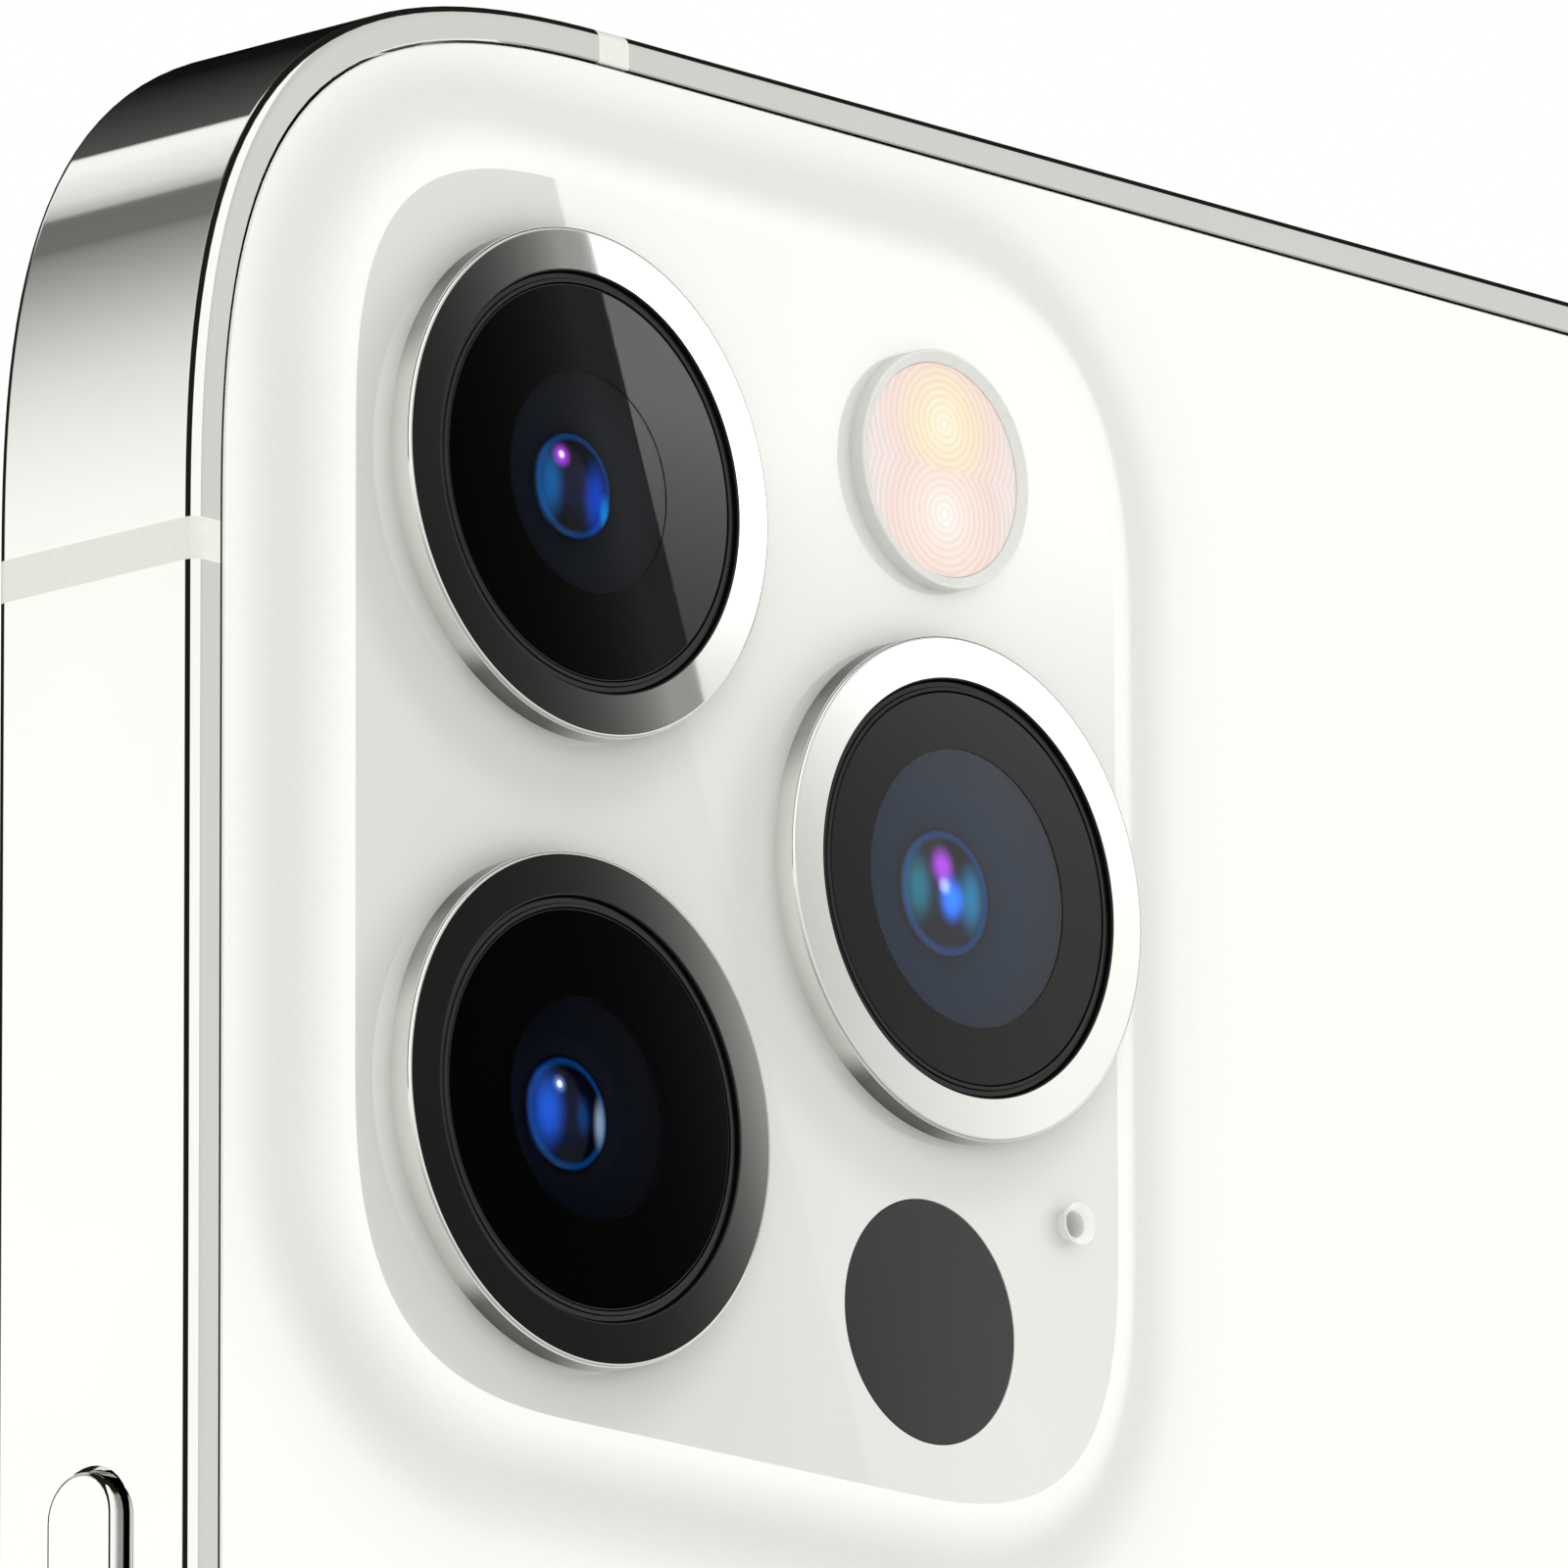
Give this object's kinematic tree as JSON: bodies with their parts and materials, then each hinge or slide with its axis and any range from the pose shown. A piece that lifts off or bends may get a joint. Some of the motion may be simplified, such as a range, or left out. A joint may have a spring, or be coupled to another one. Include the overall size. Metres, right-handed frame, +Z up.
{
  "type": "smartphone",
  "caption": "Flat-sided smartphone with polished steel frame, frosted rear glass and a raised camera plateau of ringed lenses, with pressing keys, ring switch and card tray.",
  "frame": {"origin": "centre of the bounding box at the bottom edge, on the floor the upright phone stands on", "axes": "+Z up along the long side to the earpiece end, -Y out of the display, +Y out of the rear glass and cameras, +X to the right seen from the display side"},
  "size_m": [0.0724, 0.0092, 0.1467],
  "materials": {
    "polished_steel": "mirror polished",
    "key_steel": "mirror polished",
    "band_plastic": "satin",
    "frosted_glass": "frosted",
    "display_glass": "gloss",
    "panel_black": "matte",
    "gasket_black": "matte",
    "cover_glass": "gloss",
    "lens_glass": "gloss, coated",
    "lens_black": "satin",
    "inner_steel": "brushed",
    "flash_rim": "satin",
    "flash_lens": "ribbed",
    "flash_phosphor": "matte",
    "range_glass": "gloss",
    "module_black": "matte",
    "mesh_dark": "woven",
    "board_green": "solder mask",
    "chip_black": "matte",
    "battery_black": "foil",
    "copper": "wound",
    "magnet_nickel": "plated",
    "gold_contact": "plated",
    "flex_film": "satin",
    "switch_white": "satin",
    "tungsten": "machined"
  },
  "bodies": {
    "phone": {"frame_band": "polished_steel", "antenna_bands": "band_plastic", "mid_plate": "inner_steel", "back_glass": "frosted_glass", "display_glass": "display_glass", "display_gasket": "gasket_black", "display_panel": "panel_black", "earpiece_mesh": "mesh_dark", "earpiece_speaker": "module_black", "front_camera": "lens_black", "front_sensors": "module_black", "lens_gaskets": "gasket_black", "camera_bracket": "inner_steel", "flash_rim": "flash_rim", "flash_lens": "flash_lens", "flash_leds": "flash_phosphor", "range_window": "range_glass", "range_module": "module_black", "rear_mic_tube": "polished_steel", "rear_mic_module": "module_black", "side_button_contact": "inner_steel", "volume_contacts": "inner_steel", "ring_switch_base": "module_black", "sim_reader": "inner_steel", "battery": "battery_black", "logic_board": "board_green", "board_shields": "inner_steel", "main_chip": "chip_black", "board_screws": "inner_steel", "wireless_coil": "copper", "alignment_magnets": "magnet_nickel", "bottom_speaker": "module_black", "haptic_housing": "inner_steel", "charge_port": "inner_steel", "port_contacts": "gold_contact", "bottom_screws": "inner_steel", "bottom_meshes": "mesh_dark", "bottom_flex": "flex_film", "lens_ring_upper": "polished_steel", "cover_glass_upper": "cover_glass", "camera_housing_upper": "module_black", "lens_ring_lower": "polished_steel", "cover_glass_lower": "cover_glass", "camera_housing_lower": "module_black", "lens_ring_side": "polished_steel", "cover_glass_side": "cover_glass", "camera_housing_side": "module_black", "lens_barrel_side": "lens_black", "lens_element_side": "lens_glass"},
    "side_key": {"side_button": "key_steel"},
    "volume_up_key": {"volume_up_button": "key_steel"},
    "volume_down_key": {"volume_down_button": "key_steel"},
    "ring_toggle": {"ring_switch": "key_steel"},
    "card_tray": {"sim_tray": "key_steel"},
    "upper_focus_carrier": {"lens_barrel_upper": "lens_black", "lens_element_upper": "lens_glass"},
    "lower_focus_carrier": {"lens_barrel_lower": "lens_black", "lens_element_lower": "lens_glass"},
    "haptic_slider": {"haptic_mass": "tungsten"}
  },
  "joints": [
    {"name": "side_key_press", "type": "slide", "parent": "phone", "child": "side_key", "axis": [-1, 0, 0], "range_m": [0, 0.00025], "stiffness_N_per_m": 1000},
    {"name": "volume_up_press", "type": "slide", "parent": "phone", "child": "volume_up_key", "axis": [1, 0, 0], "range_m": [0, 0.00025], "stiffness_N_per_m": 1000},
    {"name": "volume_down_press", "type": "slide", "parent": "phone", "child": "volume_down_key", "axis": [1, 0, 0], "range_m": [0, 0.00025], "stiffness_N_per_m": 1000},
    {"name": "ring_toggle_slide", "type": "slide", "parent": "phone", "child": "ring_toggle", "axis": [0, 1, 0], "range_m": [0, 0.0009]},
    {"name": "card_tray_slide", "type": "slide", "parent": "phone", "child": "card_tray", "axis": [-1, 0, 0], "range_m": [0, 0.014]},
    {"name": "upper_focus_slide", "type": "slide", "parent": "phone", "child": "upper_focus_carrier", "axis": [0, 1, 0], "range_m": [0, 0.00025], "stiffness_N_per_m": 400},
    {"name": "lower_focus_slide", "type": "slide", "parent": "phone", "child": "lower_focus_carrier", "axis": [0, 1, 0], "range_m": [0, 0.00025], "stiffness_N_per_m": 400},
    {"name": "haptic_slide", "type": "slide", "parent": "phone", "child": "haptic_slider", "axis": [1, 0, 0], "range_m": [-0.0008, 0.0008], "stiffness_N_per_m": 1500}
  ]
}
